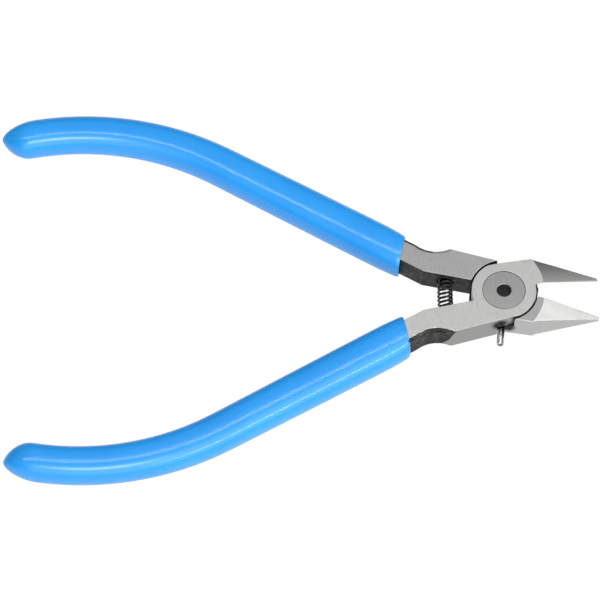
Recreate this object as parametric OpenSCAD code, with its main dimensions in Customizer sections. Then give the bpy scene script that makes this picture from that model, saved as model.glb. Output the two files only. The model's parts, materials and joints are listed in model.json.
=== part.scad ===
// Small diagonal cutting pliers: two lapped levers on a rivet, a coil return spring between the
// necks, a slotted pin that stops the opening, and a dipped grip on each handle.
// Each lever is drawn with the jaws closed: the pivot is at the origin, the tool's axis is X and
// the cutting edge lies on it. It is then turned by half of the travel to the open rest pose.
// The front lever has its handle on the -Y side and the top half of the joint. The back lever is
// the same shape mirrored across the axis, with the bottom half and a slightly larger boss.
// All sizes are in millimetres.

/* [Joint] */
// Thickness of the levers
joint_t = 6; // [5:0.1:7]
// Angle that the handles close through
travel = 24; // [16:1:30]
// Radius of the front lever's round boss, on top
boss_r = 6.5; // [6.3:0.05:6.7]
// Gap between that boss and the wall of the back lever's pocket
boss_gap = 0.4; // [0.3:0.05:0.5]
// Radius of the back lever's round boss, underneath
under_boss_r = 6.85; // [6.3:0.05:6.9]
// Gap between that boss and the wall of the front lever's pocket
under_boss_gap = 0.15; // [0.1:0.05:0.3]
// Radius of the heel, where the lower boss stands out in front below the other jaw
heel_r = 7.4; // [7.2:0.05:7.5]
// Distance from the pivot to the flat that cuts the heel off
heel_x = 6.58; // [6.4:0.02:6.7]
// Gap between the two lapped faces
lap_gap = 0.05; // [0.04:0.01:0.1]
// Distance from the axis to the flat side of the joint
side_y = 6.25; // [6:0.05:6.4]

/* [Rivet] */
// Radius of the flush heads
head_r = 4.3; // [3.6:0.1:4.8]
// Thickness of each head
head_t = 0.85; // [0.6:0.05:0.9]
// Gap all round a head in its recess
head_gap = 0.05; // [0.03:0.01:0.1]
// Radius of the rivet's shank
shank_r = 2.5; // [2:0.1:2.8]
// Running clearance round the shank
shank_play = 0.04; // [0.02:0.01:0.08]
// Radius of the hole through the rivet
rivet_bore_r = 1.45; // [1:0.05:1.6]

/* [Jaws] */
// Distance from the pivot to the jaw tips
jaw_reach = 19.65; // [16:0.05:24]
// Width of one jaw's blunt tip
tip_w = 0.6; // [0.4:0.05:1]
// Gap between a cutting edge and the tool's axis with the jaws closed
edge_gap = 0.03; // [0.02:0.01:0.05]
// Distance from the pivot to the corner where a jaw starts to narrow
corner_x = 7.65; // [7.2:0.05:8]
// Half width of the head at that corner
corner_y = 5.42; // [4.8:0.02:5.5]
// Length of the small cheek behind the corner
cheek_l = 0.6; // [0.3:0.05:1]
// Drop in width over the cheek
cheek_h = 0.41; // [0.2:0.01:0.6]
// Distance from the pivot to the start of the top bevel
bevel_x = 8.27; // [8:0.01:9]
// Fall of the top bevel towards the tip, in degrees
bevel_angle = 18.5; // [14:0.5:20]
// Radius of the crown across the top bevel
crown_r = 31; // [28:1:60]
// Distance from the axis to the ridge of that crown
crown_y = 1; // [0:0.1:2]
// Rise of the underside towards the tip, in degrees
under_angle = 7; // [4:0.5:8]
// Lean of the relief under a cutting edge, in degrees from upright
relief_angle = 35; // [30:1:38]

/* [Neck] */
// Distance from the pivot to the shoulder of the neck
shoulder_x = 12.9; // [11.5:0.1:14]
// Distance from the axis to the neck's outer side at the shoulder
shoulder_y = 7.1; // [6.6:0.05:7.2]
// Distance from the axis to the neck's inner side
neck_inner_y = 0.97; // [0.6:0.01:1.2]
// Radius of the scallop behind the shoulder
scallop_r = 6.2; // [4:0.1:7]
// Depth that the scallop dips into the shank's outer side
scallop_dip = 0.1; // [0.05:0.01:0.3]
// Radius of the forged edges along the outer side of the shank
forged_r = 0.8; // [0.5:0.05:1.2]

/* [Handle] */
// Distance from the pivot to the point where the handle's centre line is placed
handle_x = 19.7; // [19:0.1:21]
// Distance from the axis to the handle's centre line at that point
handle_y = 4.2; // [3.9:0.02:4.5]
// Lean of the handle's straight stretch away from the axis, in degrees
handle_angle = 18; // [15:0.5:21]
// Length of the straight stretch from that point
straight_l = 44.3; // [35:0.1:60]
// Radius of the handle's bend
bend_r = 56; // [45:1:70]
// Angle of the bend up to the end of the grip, in degrees
bend_angle = 45.4; // [35:0.1:50]
// Distance from the handle's centre line to the shank's inner side
shank_in = 2.15; // [2.1:0.05:2.4]
// Distance from the handle's centre line to the shank's outer side
shank_out = 2.6; // [2.1:0.05:2.7]
// Length of the full-thickness shank from that point
shank_l = 5; // [4:0.5:8]
// Width of the tang inside the grip
tang_w = 3.9; // [3.4:0.1:4.1]
// Thickness of the tang inside the grip
tang_t = 5; // [4:0.1:5.5]
// Distance from the end of the tang to the end of the grip
tang_short = 8; // [6:0.5:14]

/* [Grips] */
// Distance from the pivot to the mouth of the lower grip
lower_mouth_x = 21.2; // [20.6:0.1:22.4]
// Distance from the pivot to the mouth of the upper grip
upper_mouth_x = 21.8; // [20.6:0.1:22.4]
// Width of a grip behind its mouth
grip_w = 8.3; // [7.6:0.1:9.5]
// Width of a grip near its end
grip_end_w = 7.3; // [6.8:0.1:8.5]
// Thickness of a grip behind its mouth
grip_t = 7.5; // [7.2:0.1:8.5]
// Thickness of a grip near its end
grip_end_t = 7; // [6.6:0.1:8]
// Width that the rolled lip at the mouth takes off the grip, on each side
lip_w = 0.45; // [0.2:0.05:0.5]
// Length of the lip's rounded edge
lip_edge = 0.9; // [0.6:0.1:1.5]
// Length over which the mouth swells to the full width
lip_l = 5; // [3:0.5:8]
// Length over which the rings turn from the mouth's slant to square across the handle
slant_l = 14; // [10:1:20]
// Length of the round nose on the outer side
nose_outer = 7; // [3:0.1:9]
// Length of the slanted nose on the inner side
nose_inner = 4.6; // [3:0.1:9]
// Roundness of the nose: 2 is an ellipse and less is more pointed
nose_power = 1.75; // [1.5:0.05:2.5]
// Distance that the nose's tip lies outwards from the handle's centre line
nose_skew = 1.2; // [0:0.1:2]
// Extra length of the upper grip at its end
upper_longer = 1.6; // [0:0.1:2]
// Gap between a grip and the steel inside it
grip_gap = 0.05; // [0.03:0.01:0.1]

/* [Spring] */
// Distance from the pivot to the middle of the spring's seats
spring_x = 12.1; // [11:0.1:13]
// Outer diameter of the spring
spring_d = 3.3; // [2.6:0.1:3.4]
// Diameter of the spring's wire
wire_d = 0.45; // [0.35:0.01:0.46]
// Number of turns
turns = 14; // [12:1:16]
// Turns that lie close together at each end
end_turns = 1.25; // [1:0.25:1.5]
// Depth of each seat
seat_depth = 3; // [2.8:0.1:3.4]
// Clearance round the spring in its seats
seat_play = 0.15; // [0.1:0.05:0.3]
// Clearance between the spring's ends and the bottoms of its seats
seat_end_gap = 0.05; // [0.02:0.01:0.1]

/* [Stop pin] */
// Radius of the slotted pin
pin_r = 0.75; // [0.6:0.05:0.8]
// Wall of the slotted pin
pin_wall = 0.3; // [0.2:0.05:0.35]
// Chamfer on the pin's outer end
pin_chamfer = 0.15; // [0.05:0.05:0.2]
// Width of the pin's slot
slot_w = 0.6; // [0.2:0.05:0.7]
// Turn of the slot from straight up towards the jaws
slot_turn = 35; // [0:5:90]
// Distance from the pivot to the pin's outer end
pin_reach = 10.3; // [9:0.1:12]
// Distance from the pivot to the pin's inner end
pin_root = 3.5; // [3.3:0.1:4.5]
// Gap round the pin in its hole
pin_gap = 0.01; // [0.01:0.005:0.02]
// Gap between the pin and the front lever at the open stop
stop_gap = 0.03; // [0.02:0.01:0.1]
// Wall between the pin's hole and the lapped face
pin_cover = 0.4; // [0.3:0.05:0.5]

/* [Hidden] */
$fn = 96;
big = 40;
half = travel / 2;
top = joint_t / 2;
pocket_r = max(boss_r + boss_gap, under_boss_r);
under_pocket_r = under_boss_r + under_boss_gap;

// Directions of the handle's straight stretch: along it to the end, and square to it, outwards
along = [-cos(handle_angle), -sin(handle_angle)];
outward = [sin(handle_angle), -cos(handle_angle)];
handle_at = [-handle_x, -handle_y];

// Scallop: its circle passes through the shoulder and dips into the shank's outer side. Its middle
// lies at scallop_s along the handle and scallop_out outwards from handle_at.
shoulder = [-shoulder_x, -shoulder_y];
shoulder_back = (shoulder - handle_at) * along;
shoulder_out = (shoulder - handle_at) * outward;
scallop_out = shank_out + scallop_r - scallop_dip;
scallop_s = shoulder_back + sqrt(pow(scallop_r, 2) - pow(scallop_out - shoulder_out, 2));

// Corner where the neck's inner side meets the shank's inner side
inner_turn_x = handle_x - (handle_y - shank_in / cos(handle_angle) - neck_inner_y) / tan(handle_angle);

// Open stop: the neck's outer side leaves the pocket at neck_corner, and the pin rests beside it.
// Both angles are measured from the tool's axis, the pin's on its own lever's closed plan.
neck_lean = atan((shoulder_y - side_y) / shoulder_x);
neck_corner = 90 - neck_lean + acos(side_y * cos(neck_lean) / under_pocket_r);
pin_angle = neck_corner - asin((pin_r + stop_gap) / under_pocket_r) - travel;
pin_z = -lap_gap / 2 - pin_cover - pin_r;

// The handle's centre line: the point, and its heading, at a distance s from handle_at
bend_l = bend_r * bend_angle * PI / 180;
path_l = straight_l + bend_l;
bend_at = handle_at + straight_l * along - bend_r * outward;
function turned(s) = max(0, s - straight_l) / bend_r * 180 / PI;
function heading(s) = 180 + handle_angle - turned(s);
function forward(s) = [cos(heading(s)), sin(heading(s))];
function side(s) = [-sin(heading(s)), cos(heading(s))];
function path(s) = s < straight_l ? handle_at + s * along : bend_at + bend_r * side(s);

// Rounded cross-section: x and y of a superellipse point at an angle, each from -1 to 1
section_power = 2.7;
section_sides = 28;
function squared(v) = sign(v) * pow(abs(v), 2 / section_power);

// A grip's size at a distance s, from mouth m to end e: lip, then an even taper, then the nose
nose_l = max(nose_outer, nose_inner);
function smooth(v) = let (c = min(1, max(0, v))) c * c * (3 - 2 * c);
function mix(a, b, v) = a + (b - a) * v;
function lip_drop(s, m) =
    0.45 * (1 - smooth((s - m) / lip_l)) + 0.55 * pow(max(0, 1 - (s - m) / lip_edge), 2);
function taper(s) = smooth(s / path_l);
function nose(s, l, e) = pow(1 - pow(max(0, min(1, (s - e + l) / l)), nose_power), 1 / nose_power);
function half_w(s, m) = mix(grip_w, grip_end_w, taper(s)) / 2 - lip_w * lip_drop(s, m);
function half_t(s, m) = mix(grip_t, grip_end_t, taper(s)) / 2 - lip_w * lip_drop(s, m) / 2;

// One ring of a grip: across is the point's place from the inner to the outer side
function ring(s, m, e) = let (
    out = mix(nose_skew, half_w(s, m), nose(s, nose_outer, e)),
    inn = mix(-nose_skew, half_w(s, m), nose(s, nose_inner, e)),
    tall = half_t(s, m) * nose(s, (nose_outer + nose_inner) / 2, e),
    slant = tan(handle_angle) * (1 - smooth((s - m) / slant_l)))
    [for (i = [0:section_sides - 1]) let (
        a = -360 * i / section_sides,
        across = (out - inn) / 2 + (out + inn) / 2 * squared(cos(a)),
        p = path(s) + across * side(s) + across * slant * forward(s))
        [p[0], p[1], tall * squared(sin(a))]];

// Rings lie close together at the lip and the nose, and evenly between
function stations(m, e) = concat(
    [for (i = [0:4]) m + lip_edge * pow(i / 4, 2)],
    [for (i = [1:4]) m + mix(lip_edge, lip_l, i / 4)],
    [for (i = [1:26]) mix(m + lip_l, e - nose_l, i / 26)],
    [for (a = [8:10:88]) e - nose_l + nose_l * sin(a)]);

// A closed tube through a list of rings that all have the same number of points. Each end is a fan
// of triangles about the middle of its ring.
module tube(rings) {
    count = len(rings[0]);
    last = len(rings) - 1;
    points = concat([for (r = rings, p = r) p], [middle(rings[0]), middle(rings[last])]);
    hub = count * (last + 1);
    sides = [for (j = [0:last - 1], i = [0:count - 1])
        [j * count + i, j * count + (i + 1) % count, (j + 1) * count + (i + 1) % count, (j + 1) * count + i]];
    start = [for (i = [0:count - 1]) [hub, (i + 1) % count, i]];
    end = [for (i = [0:count - 1]) [hub + 1, last * count + i, last * count + (i + 1) % count]];
    polyhedron(points, concat(start, sides, end), convexity = 4);
}

function middle(r, i = 0) = i == len(r) ? [0, 0, 0] : r[i] / len(r) + middle(r, i + 1);

// Rest poses of the two levers
module front_pose() {
    rotate(half) children();
}

module back_pose() {
    rotate(-half) mirror([0, 1, 0]) children();
}

// Plan of a jaw with the flat side of the joint behind it
module jaw_plan() {
    polygon([[0, edge_gap], [jaw_reach, edge_gap], [jaw_reach, edge_gap + tip_w], [corner_x, corner_y],
             [corner_x - cheek_l, corner_y + cheek_h], [0, side_y]]);
}

// Plan of a round boss, flattened on both sides
module boss_plan(r) {
    intersection() {
        circle(r);
        polygon([[big, side_y - big * (side_y - corner_y - cheek_h) / (corner_x - cheek_l)], [0, side_y],
                 [-big, side_y], [-big, -side_y - big * tan(neck_lean)], [0, -side_y], [big, -side_y]]);
    }
}

// Plan of the lower boss: round, with the heel on the side of the other jaw
module under_boss_plan() {
    boss_plan(under_boss_r);
    intersection() {
        circle(heel_r);
        scale(heel_x) polygon([[0, -0.1], [1, -0.1], [1, -0.64], [0.6, -0.76]]);
    }
}

// Plan of the space for the lower boss: it clears the heel through the whole travel
module under_pocket_plan() {
    circle(under_pocket_r);
    intersection() {
        circle(heel_r + under_boss_gap);
        translate([heel_x / 3, -heel_x]) square(2 * heel_x);
    }
}

// Plan of the space for the upper boss: it also takes the upper half of the heel off
module pocket_plan() {
    circle(pocket_r);
    translate([heel_x / 8, -heel_x / 12 - big]) square(big);
}

// Places its children in the handle's own directions: X along it to the end, and Y outwards
module along_handle() {
    translate(handle_at) rotate(180 + handle_angle) children();
}

// Plan of the neck and the shank. Two of the corners lie inside the scallop, which cuts them off.
module neck_plan() {
    shank_end = handle_at + shank_l * along;
    past_shoulder = 1.1 * shoulder - 0.1 * [0, -side_y];
    difference() {
        polygon([[0, -neck_inner_y], [-inner_turn_x, -neck_inner_y], shank_end - shank_in * outward,
                 shank_end + shank_out * outward, handle_at + scallop_s * along + shank_out * outward,
                 past_shoulder, [0, -side_y]]);
        along_handle() translate([scallop_s, scallop_out]) circle(scallop_r);
    }
}

// Plan of the space for the shank in a grip, from a distance along the handle
module shank_space(from) {
    along_handle() translate([from, -shank_in - grip_gap])
        square([shank_l + grip_gap - from, shank_in + shank_out + 2 * grip_gap]);
}

// Tang inside the grip: it follows the handle's centre line and ends round
module tang(grow) {
    w = tang_w / 2 + grow;
    end = path_l - tang_short;
    steps = concat([shank_l / 2], [for (i = [0:14]) mix(straight_l, end, i / 14)]);
    linear_extrude(tang_t + 2 * grow, center = true) polygon(concat(
        [for (s = steps) path(s) + w * side(s)],
        [for (a = [15:15:165]) path(end) + w * (cos(a) * side(end) + sin(a) * forward(end))],
        [for (i = [len(steps) - 1:-1:0]) path(steps[i]) - w * side(steps[i])]));
}

// Everything of a lever that is drawn in plan and is as thick as the joint
module blank(upper) {
    linear_extrude(joint_t, center = true) {
        if (upper) boss_plan(boss_r);
        else under_boss_plan();
        jaw_plan();
        neck_plan();
    }
    tang(0);
}

// Material above the crowned bevel on top of a jaw
module above_bevel() {
    difference() {
        translate([corner_x - cheek_l, -1, -big / 2]) cube([big, side_y + 2, big]);
        translate([bevel_x, crown_y, top]) rotate([0, 90 + bevel_angle, 0])
            translate([crown_r, 0, -big]) cylinder(r = crown_r, h = 2 * big, $fn = 180);
    }
}

// Material under the rising underside of a jaw
module below_jaw() {
    translate([corner_x - cheek_l, -1, -top]) rotate([0, -under_angle, 0])
        translate([0, 0, -big]) cube([big, side_y + 2, big]);
}

// Wedge under a cutting edge that runs along +X from the origin
module relief_wedge() {
    rotate([90, 0, 90]) linear_extrude(2 * big, center = true)
        polygon([[0, 0], [-big, 0], [-big, -big], [big * tan(relief_angle), -big]]);
}

// Relief under the level and the falling stretch of the cutting edge
module relief() {
    translate([pocket_r, edge_gap, top]) intersection() {
        relief_wedge();
        translate([0, -big, -big]) cube([bevel_x - pocket_r, 2 * big, 2 * big]);
    }
    translate([bevel_x, edge_gap, top]) intersection() {
        rotate([0, bevel_angle, 0]) relief_wedge();
        translate([0, -big, -big]) cube(2 * big);
    }
}

// Rounds the forged edges, top and bottom: round the scallop, and along the shank's outer side to just
// inside the grip, whose mouth is cut square to the joint rather than to the handle
module forged_edges(mouth_x) {
    slant = shank_out * tan(handle_angle);
    reach = (mouth_x - handle_x) / cos(handle_angle) + slant + forged_r - scallop_s;
    for (flip = [0, 1]) mirror([0, 0, flip]) along_handle() translate([scallop_s, 0, top - forged_r]) {
        translate([0, shank_out - forged_r, 0]) difference() {
            cube([reach, 2 * forged_r, 2 * forged_r]);
            rotate([0, 90, 0]) cylinder(r = forged_r, h = 2 * big, center = true);
        }
        translate([0, scallop_out, 0]) rotate_extrude() difference() {
            square([scallop_r + forged_r, 2 * forged_r]);
            translate([scallop_r + forged_r, 0]) circle(forged_r);
        }
    }
}

// Blind seat for the spring, square to the neck's inner side
module spring_seat() {
    translate([-spring_x, 0, 0]) rotate([90, 0, 0])
        cylinder(d = spring_d + 2 * seat_play, h = neck_inner_y + seat_depth);
}

// Places its children on the stop pin's axis, on the back lever's closed plan
module along_pin() {
    translate([0, 0, pin_z]) rotate(pin_angle) rotate([0, 90, 0]) children();
}

// A lever with the top half of the joint (upper = true) or the bottom half
module lever(upper, mouth_x) {
    difference() {
        blank(upper);
        above_bevel();
        below_jaw();
        relief();
        forged_edges(mouth_x);
        spring_seat();
        cylinder(r = shank_r + shank_play, h = 2 * big, center = true);
        mirror([0, 0, upper ? 0 : 1]) {
            translate([0, 0, lap_gap / 2 - big]) linear_extrude(big) {
                if (upper) under_pocket_plan();
                else pocket_plan();
            }
            translate([0, 0, top - head_t - head_gap]) cylinder(r = head_r + head_gap, h = big);
        }
    }
}

module front_lever() {
    color([0.78, 0.78, 0.77]) front_pose() lever(true, lower_mouth_x);
}

module back_lever() {
    color([0.68, 0.68, 0.67]) back_pose() difference() {
        lever(false, upper_mouth_x);
        along_pin() translate([0, 0, pin_root - pin_gap]) cylinder(r = pin_r + pin_gap, h = big);
    }
}

module pivot_rivet() {
    color([0.62, 0.62, 0.61]) difference() {
        union() {
            cylinder(r = shank_r, h = joint_t, center = true);
            for (flip = [0, 1]) mirror([0, 0, flip])
                translate([0, 0, top - head_t]) cylinder(r = head_r, h = head_t);
        }
        cylinder(r = rivet_bore_r, h = 2 * big, center = true);
    }
}

// The spring's bowed centre line runs from seat to seat as an arc about spring_at
spring_foot = neck_inner_y + seat_depth - seat_end_gap;
foot_at = [-spring_x * cos(half) + spring_foot * sin(half), spring_x * sin(half) + spring_foot * cos(half)];
bow_r = foot_at[1] / sin(half);
bow_x = foot_at[0] + bow_r * cos(half);
spring_l = bow_r * travel * PI / 180 - wire_d;
end_l = end_turns * wire_d * 1.04;

// How far along the spring a turn has climbed
function climb(n) = n < end_turns ? n / end_turns * end_l
    : n > turns - end_turns ? spring_l - (turns - n) / end_turns * end_l
    : mix(end_l, spring_l - end_l, (n - end_turns) / (turns - 2 * end_turns));

// The wire's middle after n turns, with the unit vectors across the wire
function coil_ring(n) = let (
    bow = (climb(n) - spring_l / 2) / bow_r * 180 / PI,
    out = [-cos(bow), sin(bow), 0],
    up = [0, 0, 1],
    rise = [sin(bow), cos(bow), 0],
    spoke = out * cos(360 * n) + up * sin(360 * n),
    middle = [bow_x, 0, 0] + bow_r * out + (spring_d - wire_d) / 2 * spoke)
    [for (i = [0:5]) middle + wire_d / 2 * (spoke * cos(60 * i) + rise * sin(60 * i))];

module return_spring() {
    color([0.1, 0.1, 0.1]) tube([for (i = [0:turns * 14]) coil_ring(i / 14)]);
}

module stop_pin() {
    color([0.8, 0.8, 0.8]) back_pose() along_pin() difference() {
        rotate_extrude() difference() {
            translate([0, pin_root]) square([pin_r, pin_reach - pin_root]);
            translate([pin_r - pin_chamfer, pin_reach]) rotate(-45) square(pin_r);
        }
        translate([0, 0, -big]) cylinder(r = pin_r - pin_wall, h = 2 * big + pin_reach);
        rotate(slot_turn) translate([-big, -slot_w / 2, -big]) cube([big, slot_w, 2 * big]);
    }
}

// A dipped grip from mouth_x to end e, with the space for the shank and the tang taken out
module grip(mouth_x, e) {
    m = (mouth_x - handle_x) / cos(handle_angle);
    difference() {
        tube([for (s = stations(m, e)) ring(s, m, e)]);
        linear_extrude(joint_t + 2 * grip_gap, center = true) shank_space(m - 4);
        tang(grip_gap);
    }
}

module lower_grip() {
    color([0.27, 0.66, 0.94]) front_pose() grip(lower_mouth_x, path_l);
}

module upper_grip() {
    color([0.27, 0.66, 0.94]) back_pose() grip(upper_mouth_x, path_l + upper_longer);
}

front_lever();
back_lever();
pivot_rivet();
return_spring();
stop_pin();
lower_grip();
upper_grip();
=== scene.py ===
import json
import math

import bmesh
import bpy
from mathutils import Matrix, Quaternion, Vector
from mathutils.bvhtree import BVHTree


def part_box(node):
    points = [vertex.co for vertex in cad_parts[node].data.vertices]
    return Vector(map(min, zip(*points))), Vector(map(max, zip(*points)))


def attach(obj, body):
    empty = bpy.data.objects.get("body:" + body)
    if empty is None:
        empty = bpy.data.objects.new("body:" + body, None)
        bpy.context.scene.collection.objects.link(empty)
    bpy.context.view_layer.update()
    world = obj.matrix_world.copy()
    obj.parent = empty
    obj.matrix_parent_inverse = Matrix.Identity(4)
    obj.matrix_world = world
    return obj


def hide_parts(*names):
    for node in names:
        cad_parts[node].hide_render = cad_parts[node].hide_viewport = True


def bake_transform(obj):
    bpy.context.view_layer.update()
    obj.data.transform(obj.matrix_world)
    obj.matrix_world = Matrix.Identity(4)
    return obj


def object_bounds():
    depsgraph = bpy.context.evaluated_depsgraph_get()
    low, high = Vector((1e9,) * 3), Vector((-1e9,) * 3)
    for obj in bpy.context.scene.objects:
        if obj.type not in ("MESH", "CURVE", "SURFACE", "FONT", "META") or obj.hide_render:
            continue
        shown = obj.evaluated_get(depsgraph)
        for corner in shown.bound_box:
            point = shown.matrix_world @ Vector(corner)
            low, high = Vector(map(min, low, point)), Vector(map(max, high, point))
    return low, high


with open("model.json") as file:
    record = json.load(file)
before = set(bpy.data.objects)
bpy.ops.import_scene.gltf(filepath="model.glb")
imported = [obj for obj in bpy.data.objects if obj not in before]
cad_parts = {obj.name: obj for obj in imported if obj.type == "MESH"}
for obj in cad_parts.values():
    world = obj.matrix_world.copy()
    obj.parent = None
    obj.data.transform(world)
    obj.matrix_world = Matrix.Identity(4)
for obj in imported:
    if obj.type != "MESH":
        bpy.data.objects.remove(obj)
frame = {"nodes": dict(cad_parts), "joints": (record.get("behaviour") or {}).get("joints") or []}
cadLow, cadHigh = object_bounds()
nodes = frame["nodes"]
mm = 0.001
print("frame loaded")

# Where the photograph shows the tool, in its own pixels from the top left corner.
photoSide = 600
featurePoints = {
    "rivetHole": (504, 290),
    "upperJawTip": (597, 281.5),
    "lowerJawTip": (599, 318),
    "upperJawCorner": (534.3, 260.2),
    "lowerJawCorner": (533.6, 319.8),
    "upperShoulder": (447, 250),
    "lowerShoulder": (452, 345),
    "upperNose": (2.5, 138),
    "lowerNose": (3.5, 460),
    "springMiddle": (445.5, 295),
    "pinEnd": (501.2, 345.5),
    "groundLineTop": (457, 330),
    "groundLineFoot": (444.5, 342),
    "upperScaleEnd": (433, 252.7),
    "pinShadeSpot": (500, 324.5),
    "sideShadeSpot": (507.5, 327),
}


# Camera: a long lens aimed at the place that shows in the middle of the photograph, with no shift.
cameraSet = {
    "aimX": -0.04096,
    "aimY": -0.00059,
    "azimuth": -1.965,  # degrees from straight in front of the tool
    "elevation": 61.45,
    "roll": 1.697,
    "distance": 1.00624,
    "lens": 300.0,
    "sensor": 36.0,
    "clip": (0.05, 20),
}


def makeCamera(s):
    data = bpy.data.cameras.new("camera")
    data.sensor_fit = "AUTO"
    data.sensor_width = s["sensor"]
    data.lens = s["lens"]
    data.clip_start, data.clip_end = s["clip"]
    camera = bpy.data.objects.new("camera", data)
    azimuth, elevation = math.radians(s["azimuth"]), math.radians(s["elevation"])
    back = Vector((math.sin(azimuth) * math.cos(elevation), -math.cos(azimuth) * math.cos(elevation),
                   math.sin(elevation)))
    camera.location = Vector((s["aimX"], s["aimY"], 0)) + back * s["distance"]
    camera.rotation_mode = "QUATERNION"
    turn = Quaternion((0, 0, 1), math.radians(s["roll"]))
    camera.rotation_quaternion = (-back).to_track_quat("-Z", "Y") @ turn
    bpy.context.scene.collection.objects.link(camera)
    bpy.context.scene.camera = camera
    bpy.context.view_layer.update()
    return camera


camera = makeCamera(cameraSet)
print("camera made")


def placeOn(pieces, pixel):
    # The place on these finished pieces that shows at a pixel of the photograph; a miss takes the
    # corner of a face that lies nearest the ray.
    data = camera.data
    x, y = pixel
    ray = Vector((x - photoSide / 2 + data.shift_x * photoSide, photoSide / 2 - y + data.shift_y * photoSide,
                  -photoSide * data.lens / data.sensor_width))
    start = camera.matrix_world.translation
    direction = (camera.matrix_world.to_3x3() @ ray).normalized()
    nearest, reach = None, math.inf
    for piece in pieces:
        mesh = piece.data
        tree = BVHTree.FromPolygons([v.co for v in mesh.vertices], [p.vertices for p in mesh.polygons])
        hit, _, _, distance = tree.ray_cast(start, direction)
        if hit and distance < reach:
            nearest, reach = hit, distance
    if nearest is None:
        corners = [v.co for piece in pieces for v in piece.data.vertices]
        nearest = min(corners, key=lambda c: (c - start).cross(direction).length).copy()
    return nearest


# Small helpers for node materials.
noiseSpan = (0.3, 0.7)  # nearly all of a noise pattern lies between these


def startMaterial(name):
    material = bpy.data.materials.new(name)
    material.use_nodes = True
    tree = material.node_tree
    shader = tree.nodes["Principled BSDF"]
    coords = tree.nodes.new("ShaderNodeTexCoord").outputs["Object"]
    return material, tree, shader, coords


def addNoise(tree, coords, grain, detail=2.0, stretch=(1, 1, 1), turn=0.0):
    # grain is the size of the pattern in metres; stretch lengthens it along an axis turned about Z
    place = tree.nodes.new("ShaderNodeMapping")
    place.vector_type = "TEXTURE"
    place.inputs["Rotation"].default_value = (0, 0, turn)
    place.inputs["Scale"].default_value = stretch
    noise = tree.nodes.new("ShaderNodeTexNoise")
    noise.inputs["Scale"].default_value = 1 / grain
    noise.inputs["Detail"].default_value = detail
    tree.links.new(coords, place.inputs["Vector"])
    tree.links.new(place.outputs["Vector"], noise.inputs["Vector"])
    return noise.outputs["Fac"]


def addRange(tree, value, fromLow, fromHigh, toLow, toHigh, smooth=False):
    node = tree.nodes.new("ShaderNodeMapRange")
    node.interpolation_type = "SMOOTHSTEP" if smooth else "LINEAR"
    limits = {"From Min": fromLow, "From Max": fromHigh, "To Min": toLow, "To Max": toHigh}
    for name, number in limits.items():
        node.inputs[name].default_value = number
    tree.links.new(value, node.inputs["Value"])
    return node.outputs["Result"]


def addMath(tree, operation, first, second):
    node = tree.nodes.new("ShaderNodeMath")
    node.operation = operation
    for socket, value in zip(node.inputs, (first, second)):
        if isinstance(value, (int, float)):
            socket.default_value = value
        else:
            tree.links.new(value, socket)
    return node.outputs["Value"]


def addBetween(tree, share, first, second):
    # a value that is the first where the share is 0 and the second where it is 1
    kept = addMath(tree, "MULTIPLY", addMath(tree, "SUBTRACT", 1, share), first)
    return addMath(tree, "ADD", kept, addMath(tree, "MULTIPLY", share, second))


def addMix(tree, factor, first, second):
    # a colour between two colours, each a tuple or another node's output
    node = tree.nodes.new("ShaderNodeMix")
    node.data_type = "RGBA"
    tree.links.new(factor, node.inputs["Factor"])
    for name, value in (("A", first), ("B", second)):
        socket = [i for i in node.inputs if i.name == name and i.type == "RGBA"][0]
        if isinstance(value, tuple):
            socket.default_value = (*value, 1)
        else:
            tree.links.new(value, socket)
    return [o for o in node.outputs if o.type == "RGBA"][0]


def addAlong(tree, coords, point, direction):
    # distance of the shaded place from a point, measured along a direction, in metres
    offset = tree.nodes.new("ShaderNodeVectorMath")
    offset.operation = "SUBTRACT"
    tree.links.new(coords, offset.inputs[0])
    offset.inputs[1].default_value = point
    dot = tree.nodes.new("ShaderNodeVectorMath")
    dot.operation = "DOT_PRODUCT"
    tree.links.new(offset.outputs["Vector"], dot.inputs[0])
    dot.inputs[1].default_value = direction
    return dot.outputs["Value"]


def addReach(tree, coords, point):
    # distance of the shaded place from a point, in metres
    node = tree.nodes.new("ShaderNodeVectorMath")
    node.operation = "DISTANCE"
    tree.links.new(coords, node.inputs[0])
    node.inputs[1].default_value = point
    return node.outputs["Value"]


def addBump(tree, shader, height, depth):
    # depth is the height in metres that a pattern value of 1 stands for
    bump = tree.nodes.new("ShaderNodeBump")
    bump.inputs["Strength"].default_value = 1
    bump.inputs["Distance"].default_value = depth
    tree.links.new(height, bump.inputs["Height"])
    tree.links.new(bump.outputs["Normal"], shader.inputs["Normal"])


def shade(colour, share):
    # a darker or lighter colour
    return tuple(min(1, c * share) for c in colour)


# Ground steel: fine belt marks across the flats.
groundSet = {
    "front": (0.415, 0.415, 0.41),  # the flats of the front and the back lever, then their sides and bevels
    "back": (0.311, 0.311, 0.308),
    # the front lever's side is darker than the back lever's as painted shade
    "frontSide": (0.317, 0.317, 0.313),
    "backSide": (0.465, 0.465, 0.46),
    # the front lever's bevel is darker and the back lever's brighter, as painted reflection
    "frontBevel": (0.50, 0.50, 0.495),
    "backBevel": (0.59, 0.59, 0.585),
    "edge": (0.46, 0.46, 0.455),
    "rivet": (0.270, 0.270, 0.267),
    "rough": (0.36, 0.44),
    "fineRough": (0.30, 0.36),  # of the bevels and the broken edges
    "grain": 0.12 * mm,
    "speckle": 1.6,  # size of the speckles, in grains
    "markShare": 0.6,  # the speckles make up the rest of the pattern
    "shown": (0.35, 0.65),  # pattern values that get the darkest and the lightest tint
    "markLength": 14,  # in grains
    "markTurn": math.radians(80),
    "acrossTurn": math.radians(90),
    "contrast": 0.14,
    "depth": 0.0015 * mm,
}


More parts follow.
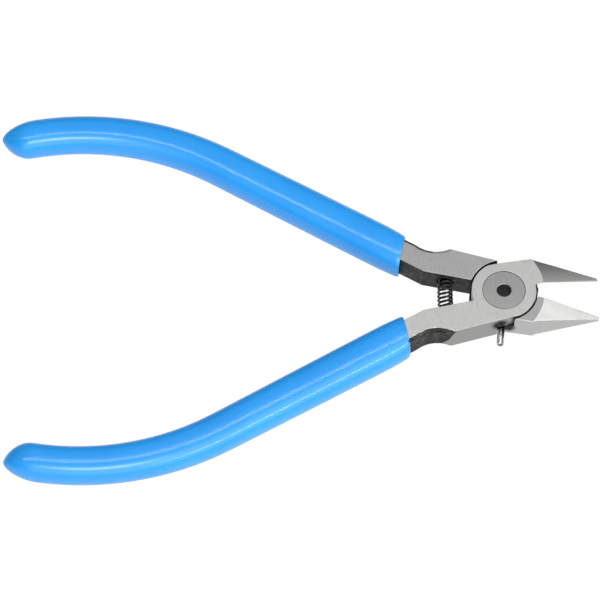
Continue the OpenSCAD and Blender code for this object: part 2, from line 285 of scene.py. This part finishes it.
def addGround(tree, coords, colour, turn, rough):
    # colour, roughness and height of a ground surface
    s = groundSet
    marks = addNoise(tree, coords, s["grain"], detail=3, stretch=(s["markLength"], 1, 1), turn=turn)
    speckle = addNoise(tree, coords, s["speckle"] * s["grain"], detail=4)
    pattern = addMath(tree, "ADD", addMath(tree, "MULTIPLY", marks, s["markShare"]),
                      addMath(tree, "MULTIPLY", speckle, 1 - s["markShare"]))
    shown = addRange(tree, pattern, *s["shown"], 0, 1)
    tint = addMix(tree, shown, shade(colour, 1 - s["contrast"]), shade(colour, 1 + s["contrast"]))
    return tint, addRange(tree, speckle, *noiseSpan, *rough), pattern


def groundSteel(name, colour, turn=groundSet["markTurn"], rough=groundSet["rough"], paintedReflection=None):
    # fade is a point, a direction, the two distances along it and the share of the colour kept at the second
    material, tree, shader, coords = startMaterial(name)
    tint, roughness, pattern = addGround(tree, coords, colour, turn, rough)
    # painted reflection: the colour darkens between two distances along a direction
    if paintedReflection:
        point, direction, near, far, kept = paintedReflection
        share = addRange(tree, addAlong(tree, coords, point, direction), near, far, 0, 1)
        tint = addMix(tree, share, tint, shade(colour, kept))
    tree.links.new(tint, shader.inputs["Base Color"])
    tree.links.new(roughness, shader.inputs["Roughness"])
    shader.inputs["Metallic"].default_value = 1
    addBump(tree, shader, pattern, groundSet["depth"])
    return material


# Forged steel: dark scale with a fine rough skin, worn patches and a few rubbed streaks.
forgedSet = {
    "scale": (0.008, 0.0078, 0.0076),
    "worn": (0.029, 0.028, 0.027),
    "streak": (0.34, 0.34, 0.33),
    "rough": (0.38, 0.62),
    "grain": 0.22 * mm,
    "patch": 1.6 * mm,
    "patchSpan": (0.40, 0.66),  # pattern values between which the scale turns worn
    "streakWidth": 0.9,  # in grains
    "streakLength": 18,  # in widths
    "streakTurn": math.radians(-20),
    "streakSpan": (0.61, 0.72),
    "streakShare": 0.6,  # how much of its colour the brightest streak gets
    "metallic": 0.55,
    "specular": 0.25,
    "depth": 0.03 * mm,
}


def addForged(tree, coords):
    # colour, roughness and height of a forged surface
    s = forgedSet
    grain = addNoise(tree, coords, s["grain"], detail=4)
    patch = addNoise(tree, coords, s["patch"], detail=3)
    streak = addNoise(tree, coords, s["streakWidth"] * s["grain"], detail=2,
                      stretch=(s["streakLength"], 1, 1), turn=s["streakTurn"])
    worn = addMix(tree, addRange(tree, patch, *s["patchSpan"], 0, 1, smooth=True), s["scale"], s["worn"])
    rubbed = addRange(tree, streak, *s["streakSpan"], 0, s["streakShare"], smooth=True)
    tint = addMix(tree, rubbed, worn, s["streak"])
    return tint, addRange(tree, grain, *noiseSpan, *s["rough"]), grain


def forgedSteel(name):
    material, tree, shader, coords = startMaterial(name)
    tint, roughness, grain = addForged(tree, coords)
    tree.links.new(tint, shader.inputs["Base Color"])
    tree.links.new(roughness, shader.inputs["Roughness"])
    shader.inputs["Metallic"].default_value = forgedSet["metallic"]
    shader.inputs["Specular IOR Level"].default_value = forgedSet["specular"]
    addBump(tree, shader, grain, forgedSet["depth"])
    return material


# Outer side of a lever: ground up to a line across the scallop, forged beyond it, painted shade by the pin.
sideSet = {
    "blur": 0.10 * mm,  # half the width of the line
    "waver": 0.5 * mm,
    "waverGrain": 1.2 * mm,
    "shadeSpot": (1.5 * mm, 2.7 * mm),  # the painted shade spot's full and faded reach
    "shadeSpotWaver": 1.3 * mm,
    "shadeSpotGrain": 0.5 * mm,
}


def sideSteel(name, colour, point, direction, shadeSpot):
    # direction points to the forged side of the line; the last argument is the middle of painted shade
    s = sideSet
    material, tree, shader, coords = startMaterial(name)
    groundTint, groundRough, groundHeight = addGround(tree, coords, colour, groundSet["acrossTurn"],
                                                      groundSet["rough"])
    forgedTint, forgedRough, forgedHeight = addForged(tree, coords)
    waver = addMath(tree, "MULTIPLY", addNoise(tree, coords, s["waverGrain"]), s["waver"])
    along = addMath(tree, "ADD", addAlong(tree, coords, point, direction), waver)
    middle = s["waver"] / 2
    share = addRange(tree, along, middle - s["blur"], middle + s["blur"], 0, 1, smooth=True)
    tint = addMix(tree, share, groundTint, forgedTint)
    # painted shade: near a point beside the pin the colour darkens to the forged scale's
    spread = addMath(tree, "MULTIPLY", addNoise(tree, coords, s["shadeSpotGrain"], detail=3), s["shadeSpotWaver"])
    reach = addMath(tree, "ADD", addReach(tree, coords, shadeSpot), spread)
    spotShade = addRange(tree, reach, *s["shadeSpot"], 1, 0, smooth=True)
    tint = addMix(tree, spotShade, tint, forgedSet["scale"])
    tree.links.new(tint, shader.inputs["Base Color"])
    tree.links.new(addBetween(tree, share, groundRough, forgedRough), shader.inputs["Roughness"])
    tree.links.new(addBetween(tree, share, 1, forgedSet["metallic"]), shader.inputs["Metallic"])
    shader.inputs["Specular IOR Level"].default_value = forgedSet["specular"]
    skin = addMath(tree, "MULTIPLY", addMath(tree, "MULTIPLY", forgedHeight, share), forgedSet["depth"])
    height = addMath(tree, "ADD", addMath(tree, "MULTIPLY", groundHeight, groundSet["depth"]), skin)
    addBump(tree, shader, height, 1)  # the height is in metres already
    return material


# Dipped vinyl of the grips: glossy, with slow waves and a trace of light inside it.
vinylSet = {
    "colour": (0.008, 0.212, 0.550),
    "deep": (0.006, 0.196, 0.530),
    "rough": (0.20, 0.22),
    "wave": 12 * mm,
    "fine": 0.7 * mm,
    "depth": 0.012 * mm,
    "ior": 1.5,
    "inside": 0.15,  # share of the light that goes in and comes out again
    "insideColour": (0.4, 0.7, 1.0),
    "insideReach": 1 * mm,
}


def dippedVinyl(name):
    s = vinylSet
    material, tree, shader, coords = startMaterial(name)
    wave = addNoise(tree, coords, s["wave"])
    fine = addNoise(tree, coords, s["fine"], detail=3)
    tint = addMix(tree, addRange(tree, wave, *noiseSpan, 0, 1), s["deep"], s["colour"])
    tree.links.new(tint, shader.inputs["Base Color"])
    tree.links.new(addRange(tree, fine, *noiseSpan, *s["rough"]), shader.inputs["Roughness"])
    shader.inputs["IOR"].default_value = s["ior"]
    shader.inputs["Subsurface Weight"].default_value = s["inside"]
    shader.inputs["Subsurface Radius"].default_value = s["insideColour"]
    shader.inputs["Subsurface Scale"].default_value = s["insideReach"]
    addBump(tree, shader, wave, s["depth"])
    return material


def plainMetal(name, colour, rough, grain, metallic=1.0, depth=0.004 * mm, spread=0.2):
    # spread is how far colour and roughness go to either side, as a share of them
    less, more = 1 - spread, 1 + spread
    material, tree, shader, coords = startMaterial(name)
    noise = addNoise(tree, coords, grain, detail=3)
    tree.links.new(addMix(tree, noise, shade(colour, less), shade(colour, more)), shader.inputs["Base Color"])
    tree.links.new(addRange(tree, noise, *noiseSpan, less * rough, more * rough), shader.inputs["Roughness"])
    shader.inputs["Metallic"].default_value = metallic
    addBump(tree, shader, noise, depth)
    return material


# At rest each lever is turned open by half the joint's travel. These turn one from its own axes, in which
# the jaws point along +X and are shut, to where it stands. The back lever's axes are mirrored.
travel = frame["joints"][0]["range_deg"][1]
openHalf = math.radians(travel / 2)
frontPose = Matrix.Rotation(openHalf, 4, "Z")
backPose = Matrix.Rotation(-openHalf, 4, "Z") @ Matrix.Scale(-1, 4, (0, 1, 0))
print("levers open by", travel, "degrees")


def copyOf(node, mergeDistance=0.002 * mm):
    # copy of a CAD node, its loose triangles merged
    bm = bmesh.new()
    bm.from_mesh(nodes[node].data)
    bmesh.ops.remove_doubles(bm, verts=bm.verts, dist=mergeDistance)
    return bm


def finishPiece(name, bm, materials, node, body=None, sharp=40, flats=True):
    # the mesh as a piece in a node's place; edges turn sharp from this many degrees on
    for face in bm.faces:
        face.smooth = True
    for edge in bm.edges:
        edge.smooth = len(edge.link_faces) != 2 or edge.calc_face_angle(0) < math.radians(sharp)
    mesh = bpy.data.meshes.new(name)
    bm.to_mesh(mesh)
    bm.free()
    for material in materials:
        mesh.materials.append(material)
    piece = bpy.data.objects.new(name, mesh)
    bpy.context.scene.collection.objects.link(piece)
    if flats:
        weighted = piece.modifiers.new("flatFaces", "WEIGHTED_NORMAL")
        weighted.keep_sharp = True
    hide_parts(node)
    if body:
        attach(piece, body)
    print(name, len(mesh.polygons), "faces")
    return piece


# Levers: merged copies of the CAD nodes with fine broken edges and a finish for each surface. Places are
# along the lever (x), out to its side (y, with the handle at negative y) or radii round the pivot.
leverSet = {
    "flatAngle": 0.5,  # degrees within which facets are one flat
    "edge": 0.07 * mm,
    "edgeAngles": (14, 100),  # degrees between the two sides of an edge that gets broken
    "sharpAngle": 35,
    "top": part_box("front_lever")[1].z,
    "lap": 0.2 * mm,  # a flat further than this below the top lies inside the joint
    "recess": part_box("pivot_rivet")[1].x + 0.3 * mm,  # radius round the rivet within which edges stay crisp
    "pocket": 7.1 * mm,  # radius of the joint's pocket
    "jawFrom": 6.7 * mm,
    "neckSide": -0.5 * mm,  # the outer side lies beyond this as far as sideTo
    "sideTo": 4 * mm,
    "wideSide": 5 * mm,  # and ahead of the pivot it also lies beyond this
    "seatAt": -12.1 * mm,  # the spring's seat: its middle, half its width, mouth and floor
    "seatReach": 2.2 * mm,
    "seatDepths": (-1.0 * mm, -4.5 * mm),
    "forgedFrom": -13.3 * mm,  # edges behind this are left as forged
    "level": 0.98,  # how straight a normal points along its axis on a flat,
    "flatSide": 0.97,  # on a flat side
    "tilted": 0.2,  # and at least on a tilted face
    "cuttingEdge": 0.35 * mm,  # edges nearer to the cutting line than this stay crisp
    # the bevels' two fades are painted reflection
    "upperPaintedReflection": (0.8 * mm, 5 * mm, 0.60),  # from where to where the bevel darkens, and to what share
    "lowerPaintedReflection": (0.4 * mm, 4 * mm, 0.66),
    # near-black painted shade for the joint's inside, the spring's seat and the back lever's heel
    "inside": {"colour": (0.008, 0.008, 0.008), "rough": 0.5, "grain": 0.3 * mm, "metallic": 0.6},
}
groundFlat, jawBevel, groundSide, forgedSkin, shadedInside, outerSide, brokenEdge = range(7)


def leverFinish(face, pose):
    # the finish that a face of a lever has, by where it lies and which way it looks
    s = leverSet
    back = pose.inverted()
    centre = back @ face.calc_center_median()
    normal = (back.to_3x3() @ face.normal).normalized()
    radius = centre.xy.length
    level = abs(normal.z) > s["level"]
    curved = abs(normal.y) < s["flatSide"]
    # the back lever's heel beside its jaw and the spring's seat get the joint's near-black painted shade
    if pose is backPose and centre.x > 0 and centre.y < -s["cuttingEdge"] and curved and not level:
        return shadedInside
    mouth, floor = s["seatDepths"]
    if abs(centre.x - s["seatAt"]) < s["seatReach"] > abs(centre.z) and mouth > centre.y > floor:
        return shadedInside
    if centre.x > s["jawFrom"] and radius > s["pocket"]:
        return groundFlat if level else jawBevel if normal.z > s["tilted"] else groundSide
    if level:
        return groundFlat if abs(centre.z) > s["top"] - s["lap"] else shadedInside
    if radius < s["pocket"] and (normal.xy.dot(centre.xy) < 0 or (pose is backPose and curved)):
        return shadedInside
    if centre.x < 0 and normal.y > s["tilted"]:
        return forgedSkin
    if centre.x < s["sideTo"] and centre.y < s["neckSide"] or centre.x > 0 and centre.y > s["wideSide"]:
        return outerSide
    return groundSide


def isBroken(edge, low, high, pose):
    # whether an edge is one of the crisp outer edges that the grinding left slightly rounded
    s = leverSet
    if not edge.is_manifold or not low < edge.calc_face_angle() < high:
        return False
    kinds = {face.material_index for face in edge.link_faces}
    middle = pose.inverted() @ ((edge.verts[0].co + edge.verts[1].co) / 2)
    cutting = middle.x > s["pocket"] and abs(middle.y) < s["cuttingEdge"]
    outside = middle.xy.length > s["recess"] and abs(middle.z) > s["lap"]
    return bool(kinds & {groundFlat, jawBevel}) and not cutting and middle.x > s["forgedFrom"] and outside


def makeLever(name, node, body, pose):
    s = leverSet
    bm = copyOf(node)
    bmesh.ops.dissolve_limit(bm, angle_limit=math.radians(s["flatAngle"]), verts=bm.verts, edges=bm.edges)
    bm.normal_update()
    for face in bm.faces:
        face.material_index = leverFinish(face, pose)
    low, high = (math.radians(a) for a in s["edgeAngles"])
    edges = [e for e in bm.edges if isBroken(e, low, high, pose)]
    made = bmesh.ops.bevel(bm, geom=edges, offset=s["edge"], offset_type="OFFSET", segments=2, profile=0.5,
                           affect="EDGES", clamp_overlap=False, material=-1)
    for face in made["faces"]:
        face.material_index = brokenEdge
    return finishPiece(name, bm, [], node, body, s["sharpAngle"])


frontLever = makeLever("frontLever", "front_lever", "front_half", frontPose)
backLever = makeLever("backLever", "back_lever", "back_half", backPose)

# The ground sides end at a line whose slant both levers share; each lever has painted shade beside the pin.
lineTop = placeOn([frontLever], featurePoints["groundLineTop"])
lineFoot = placeOn([frontLever], featurePoints["groundLineFoot"])
outward = frontPose.to_3x3() @ Vector((0, -1, 0))
frontAcross = (lineFoot - lineTop).cross(outward).normalized()
if frontAcross.x > 0:
    frontAcross = -frontAcross
backAcross = backPose.to_3x3() @ (frontPose.inverted().to_3x3() @ frontAcross)
backLineTop = placeOn([backLever], featurePoints["upperScaleEnd"])
frontShadeSpot = placeOn([frontLever], featurePoints["pinShadeSpot"])
backShadeSpot = placeOn([backLever], featurePoints["sideShadeSpot"])

forged = forgedSteel("forgedScale")
jointShadeSteel = plainMetal("jointShadeSteel", **leverSet["inside"])
acrossTurn, fineRough = groundSet["acrossTurn"], groundSet["fineRough"]
edgeSteel = groundSteel("edgeSteel", groundSet["edge"], 0, fineRough)
# painted reflection on each lever's jaw bevel
upperPaintedReflection = ((0, 0, 0), frontPose.to_3x3() @ Vector((0, 1, 0)), *leverSet["upperPaintedReflection"])
lowerPaintedReflection = ((0, 0, 0), backPose.to_3x3() @ Vector((0, 1, 0)), *leverSet["lowerPaintedReflection"])
for lever, kind, sidePoint, across, shadeSpot, paintedReflection in (
        (frontLever, "front", lineTop, frontAcross, frontShadeSpot, upperPaintedReflection),
        (backLever, "back", backLineTop, backAcross, backShadeSpot, lowerPaintedReflection)):
    flatColour, sideColour, bevelColour = (groundSet[kind + end] for end in ("", "Side", "Bevel"))
    # in the order of the finishes that leverFinish gives
    for material in (groundSteel(lever.name + "Flat", flatColour),
                     groundSteel(lever.name + "Bevel", bevelColour, acrossTurn, fineRough, paintedReflection),
                     groundSteel(lever.name + "Side", sideColour, acrossTurn), forged, jointShadeSteel,
                     sideSteel(lever.name + "Outer", sideColour, sidePoint, across, shadeSpot), edgeSteel):
        lever.data.materials.append(material)
print("levers finished")


# Grips: the CAD form made of four-sided faces and smoothed. The inside keeps its corners.
gripSet = {
    "smooth": 2,
    "sharpAngle": 38,
    "joinAngles": (40, 50),  # degrees out of flat and out of square at which triangles still join
    "lipCrease": 0.4,  # the mouth's outer edge is only half sharp
}
vinyl = dippedVinyl("blueVinyl")


def outerFaces(seed, limit):
    # faces reached from a seed face without crossing a sharp edge
    found, waiting = {seed}, [seed]
    while waiting:
        for edge in waiting.pop().edges:
            if edge.is_manifold and edge.calc_face_angle() < limit:
                for other in edge.link_faces:
                    if other not in found:
                        found.add(other)
                        waiting.append(other)
    return found


def makeGrip(name, node, body):
    bm = copyOf(node)
    outOfFlat, outOfSquare = (math.radians(a) for a in gripSet["joinAngles"])
    bmesh.ops.join_triangles(bm, faces=bm.faces, angle_face_threshold=outOfFlat,
                             angle_shape_threshold=outOfSquare)
    bm.normal_update()
    tip = min(bm.faces, key=lambda f: f.calc_center_median().x)
    outside = outerFaces(tip, math.radians(gripSet["sharpAngle"]))
    crease = bm.edges.layers.float.new("crease_edge")
    for edge in bm.edges:
        if not all(face in outside for face in edge.link_faces):
            edge[crease] = gripSet["lipCrease"] if any(face in outside for face in edge.link_faces) else 1
    piece = finishPiece(name, bm, [vinyl], node, body, flats=False)
    smooth = piece.modifiers.new("smooth", "SUBSURF")
    smooth.levels = smooth.render_levels = gripSet["smooth"]
    return piece


lowerGrip = makeGrip("lowerGrip", "lower_grip", "front_half")
upperGrip = makeGrip("upperGrip", "upper_grip", "back_half")


# Rivet: a turned profile spun round the pivot, with radii and heights from the CAD node.
rivetSet = {
    "crown": 0.02 * mm,
    "edge": 0.12 * mm,
    "edgeReach": 0.7,  # how far in the edge slopes, as a share of its height
    "domeReach": 0.6,  # share of the head's radius at which most of the crown has risen
    "domeLeft": 0.3,  # share of the crown that is still to rise there
    "holeEdge": 0.10 * mm,
    "holeFrom": 0.3,  # share of the hole's edge that is as dark as the hole
    "steps": 96,
    "sharpAngle": 30,
    # the hole's near-black colour is painted shade in the bore
    "hole": {"colour": (0.018, 0.018, 0.018), "rough": 0.6, "grain": 0.4 * mm, "metallic": 0.5},
}
rivetSteel = groundSteel("rivetSteel", groundSet["rivet"])
holeShadeSteel = plainMetal("holeShadeSteel", **rivetSet["hole"])


def spinProfile(bm, profile, steps, mergeDistance=0.001 * mm):
    # a closed profile of radii and heights, spun right round Z
    verts = [bm.verts.new((x, 0, z)) for x, z in profile]
    edges = [bm.edges.new(pair) for pair in zip(verts, verts[1:] + verts[:1])]
    bmesh.ops.spin(bm, geom=verts + edges, cent=(0, 0, 0), axis=(0, 0, 1), dvec=(0, 0, 0),
                   angle=2 * math.pi, steps=steps, use_merge=True)
    bmesh.ops.remove_doubles(bm, verts=bm.verts, dist=mergeDistance)
    bmesh.ops.recalc_face_normals(bm, faces=bm.faces)


def makeRivet():
    s = rivetSet
    verts = nodes["pivot_rivet"].data.vertices
    radii = sorted({round(v.co.xy.length, 5) for v in verts})  # to 0.01 mm
    hole, shank, head = radii[0], radii[1], radii[-1]
    heights = sorted({round(v.co.z, 5) for v in verts})
    top, under = heights[-1], heights[-2]
    half = [(shank, under), (head, under), (head, top - s["edge"]),
            (head - s["edgeReach"] * s["edge"], top - s["crown"]),
            (s["domeReach"] * head, top - s["domeLeft"] * s["crown"]),
            (hole + s["holeEdge"], top), (hole, top - s["holeEdge"])]
    profile = half + [(x, -z) for x, z in reversed(half)]
    bm = bmesh.new()
    spinProfile(bm, profile, s["steps"])
    for face in bm.faces:
        inHole = face.calc_center_median().xy.length < hole + s["holeFrom"] * s["holeEdge"]
        face.material_index = 1 if inHole else 0
    return finishPiece("pivotRivet", bm, [rivetSteel, holeShadeSteel], "pivot_rivet",
                       "front_half", s["sharpAngle"])


pivotRivet = makeRivet()


# Spring: one wire spun into a coil and bent to the bow between its seats.
springSet = {
    "turns": 14,
    "wire": 0.45 * mm,
    "wireSides": 10,
    "stepsPerTurn": 30,
    "lean": 0.24,  # slope of the turns between the seats
    "seated": 0.25,  # share of the length, at either end, over which the lean sets in
    "slack": 0.3,  # how far the coil ends inside the CAD's ends, in wires
    "footHeight": 3,  # height, in wires, of the CAD's lower end that gives the seat's middle
    "finish": {"colour": (0.012, 0.012, 0.012), "rough": 0.36, "grain": 0.5 * mm, "metallic": 0.6},
}
springSteel = plainMetal("springSteel", **springSet["finish"])


def makeSpring():
    s = springSet
    verts = [v.co for v in nodes["return_spring"].data.vertices]
    low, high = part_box("return_spring")
    slack = s["slack"] * s["wire"]
    lowEnd = [v for v in verts if v.y < low.y + s["footHeight"] * s["wire"]]
    foot = sum(lowEnd, Vector()) / len(lowEnd)
    belly = [v for v in verts if abs(v.y) < s["wire"]]
    middle = Vector(((min(v.x for v in belly) + max(v.x for v in belly)) / 2, 0, foot.z))
    coilRadius = (max(v.z for v in verts) - min(v.z for v in verts) - s["wire"]) / 2
    # the bow is the arc through the middles of both seats and of the belly
    rise = foot.x - middle.x
    bowRadius = (foot.y ** 2 + rise ** 2) / (2 * rise)
    centre = Vector((middle.x + bowRadius, 0, foot.z))
    reach = math.asin((high.y - s["wire"] / 2 - slack) / bowRadius)
    length = 2 * reach * bowRadius
    steps = s["turns"] * s["stepsPerTurn"]
    bm = bmesh.new()
    place = Matrix.Translation((coilRadius, 0, 0)) @ Matrix.Rotation(math.radians(90), 4, "X")
    bmesh.ops.create_circle(bm, segments=s["wireSides"], radius=s["wire"] / 2, matrix=place)
    bmesh.ops.spin(bm, geom=bm.verts[:] + bm.edges[:], cent=(0, 0, 0), axis=(0, 0, 1),
                   dvec=(0, 0, length / steps), angle=2 * math.pi * s["turns"], steps=steps)
    bmesh.ops.holes_fill(bm, edges=[e for e in bm.edges if e.is_boundary], sides=0)
    # bent so that the coil's axis follows the bow from seat to seat, and its turns lean in between
    for v in bm.verts:
        free = min(1, v.co.z / length / s["seated"], (1 - v.co.z / length) / s["seated"])
        angle = (v.co.z + s["lean"] * free * v.co.x) / bowRadius - reach
        out = bowRadius - v.co.x
        v.co = (centre.x - out * math.cos(angle), out * math.sin(angle), centre.z + v.co.y)
    bmesh.ops.recalc_face_normals(bm, faces=bm.faces)
    piece = finishPiece("returnSpring", bm, [springSteel], "return_spring", flats=False)
    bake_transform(piece)
    return piece


returnSpring = makeSpring()


# Stop pin: the CAD's slotted tube with rounded edges.
pinSet = {
    "flatAngle": 1,
    "edge": 0.07 * mm,
    "edgeAngle": 30,
    "sharpAngle": 35,
    "finish": {"colour": (0.62, 0.62, 0.62), "rough": 0.2, "grain": 0.4 * mm},
}
pinSteel = plainMetal("pinSteel", **pinSet["finish"])


def makePin():
    s = pinSet
    bm = copyOf("stop_pin")
    bmesh.ops.dissolve_limit(bm, angle_limit=math.radians(s["flatAngle"]), verts=bm.verts, edges=bm.edges)
    corner = math.radians(s["edgeAngle"])
    edges = [e for e in bm.edges if e.is_manifold and e.calc_face_angle() > corner]
    bmesh.ops.bevel(bm, geom=edges, offset=s["edge"], offset_type="OFFSET", segments=3, profile=0.5,
                    affect="EDGES", clamp_overlap=False, material=-1)
    return finishPiece("stopPin", bm, [pinSteel], "stop_pin", "back_half", s["sharpAngle"])


stopPin = makePin()
print("pieces made")


# Floor under the grips: white where the camera or a reflection meets it, but for the share of that white
# that a shadow takes.
floorSet = {"size": 3.0, "colour": (0.86, 0.86, 0.86), "shadow": 0.03}


def makeFloor():
    s = floorSet
    bm = bmesh.new()
    bmesh.ops.create_grid(bm, x_segments=1, y_segments=1, size=s["size"] / 2,
                          matrix=Matrix.Translation((0, 0, cadLow.z)))
    mesh = bpy.data.meshes.new("floor")
    bm.to_mesh(mesh)
    bm.free()
    floor = bpy.data.objects.new("floor", mesh)
    bpy.context.scene.collection.objects.link(floor)
    material = bpy.data.materials.new("floorPaper")
    material.use_nodes = True
    tree = material.node_tree
    tree.nodes.clear()
    diffuse = tree.nodes.new("ShaderNodeBsdfDiffuse")
    diffuse.inputs["Color"].default_value = (*s["colour"], 1)
    glow = tree.nodes.new("ShaderNodeEmission")
    glow.inputs["Color"].default_value = (1, 1, 1, 1)
    path = tree.nodes.new("ShaderNodeLightPath")
    seen = addMath(tree, "MAXIMUM", path.outputs["Is Camera Ray"], path.outputs["Is Glossy Ray"])
    seen = addMath(tree, "MAXIMUM", seen, path.outputs["Is Transmission Ray"])
    mix = tree.nodes.new("ShaderNodeMixShader")
    tree.links.new(addMath(tree, "MULTIPLY", seen, 1 - s["shadow"]), mix.inputs["Fac"])
    tree.links.new(diffuse.outputs["BSDF"], mix.inputs[1])
    tree.links.new(glow.outputs["Emission"], mix.inputs[2])
    out = tree.nodes.new("ShaderNodeOutputMaterial")
    tree.links.new(mix.outputs["Shader"], out.inputs["Surface"])
    mesh.materials.append(material)


makeFloor()


# World: white to the camera. For everything else it is a studio that is dim towards the horizon and
# brighter before the tool and to its right, where the photographer's big light stands.
worldSet = {
    "low": 0.25,
    "high": 0.66,
    "rise": (0.45, 0.85),  # height, as a share of straight up, over which low turns to high
    "front": 2.1,
    "frontAzimuth": -58,
    "frontElevation": 22,
    "frontSpan": (0.2, 0.9),  # from well aside of the light's direction to nearly along it
}


def lookFrom(azimuth, elevation):
    # unit vector to a direction given by its azimuth from +X and its elevation, in degrees
    azimuth, elevation = math.radians(azimuth), math.radians(elevation)
    return Vector((math.cos(azimuth) * math.cos(elevation), math.sin(azimuth) * math.cos(elevation),
                   math.sin(elevation)))


def makeWorld():
    s = worldSet
    world = bpy.data.worlds.new("studio")
    world.use_nodes = True
    tree = world.node_tree
    background = tree.nodes["Background"]
    coords = tree.nodes.new("ShaderNodeTexCoord").outputs["Generated"]
    split = tree.nodes.new("ShaderNodeSeparateXYZ")
    tree.links.new(coords, split.inputs["Vector"])
    level = addRange(tree, split.outputs["Z"], *s["rise"], s["low"], s["high"], smooth=True)
    side = addAlong(tree, coords, (0, 0, 0), lookFrom(s["frontAzimuth"], s["frontElevation"]))
    front = addRange(tree, side, *s["frontSpan"], 0, s["front"], smooth=True)
    path = tree.nodes.new("ShaderNodeLightPath")
    tint = addMix(tree, path.outputs["Is Camera Ray"], addMath(tree, "ADD", level, front), (1, 1, 1))
    tree.links.new(tint, background.inputs["Color"])
    background.inputs["Strength"].default_value = 1
    bpy.context.scene.world = world


makeWorld()


# Lamps, in metres and watts: each is aimed at the middle of the tool from a direction given by its azimuth
# from +X and its elevation.
lampSet = {
    "overhead": {"azimuth": 95, "elevation": 76, "distance": 0.7, "size": (0.9, 0.045), "power": 1.35},
    "front": {"azimuth": -43, "elevation": 34, "distance": 0.7, "size": (0.6, 0.03), "power": 1.4},
    "softbox": {"azimuth": 20, "elevation": 54, "distance": 0.7, "size": (0.25, 0.25), "power": 0.2},
    "besideCamera": {"azimuth": -90, "elevation": 60, "distance": 1.3, "size": (0.42, 0.42), "power": 4.2},
}


def makeLamp(name, s):
    data = bpy.data.lights.new(name, "AREA")
    data.shape = "RECTANGLE"
    data.size, data.size_y = s["size"]
    data.energy = s["power"]
    lamp = bpy.data.objects.new(name, data)
    towards = lookFrom(s["azimuth"], s["elevation"])
    lamp.location = (cadLow + cadHigh) / 2 + towards * s["distance"]
    lamp.rotation_mode = "QUATERNION"
    lamp.rotation_quaternion = towards.to_track_quat("Z", "Y")
    bpy.context.scene.collection.objects.link(lamp)


for lampName, lampValues in lampSet.items():
    makeLamp(lampName, lampValues)
bpy.context.scene.view_settings.view_transform = "Standard"
print("studio made")


# Each finished piece's vertex places, once its modifiers are applied.
def finishedPlaces(piece):
    # a piece's vertices once its modifiers are applied
    shown = piece.evaluated_get(bpy.context.evaluated_depsgraph_get())
    mesh = shown.to_mesh()
    places = [v.co.copy() for v in mesh.vertices]
    shown.to_mesh_clear()
    return places


def writePoints():
    pieces = [frontLever, backLever, pivotRivet, returnSpring, stopPin, lowerGrip, upperGrip]
    places = {piece.name: finishedPlaces(piece) for piece in pieces}


writePoints()
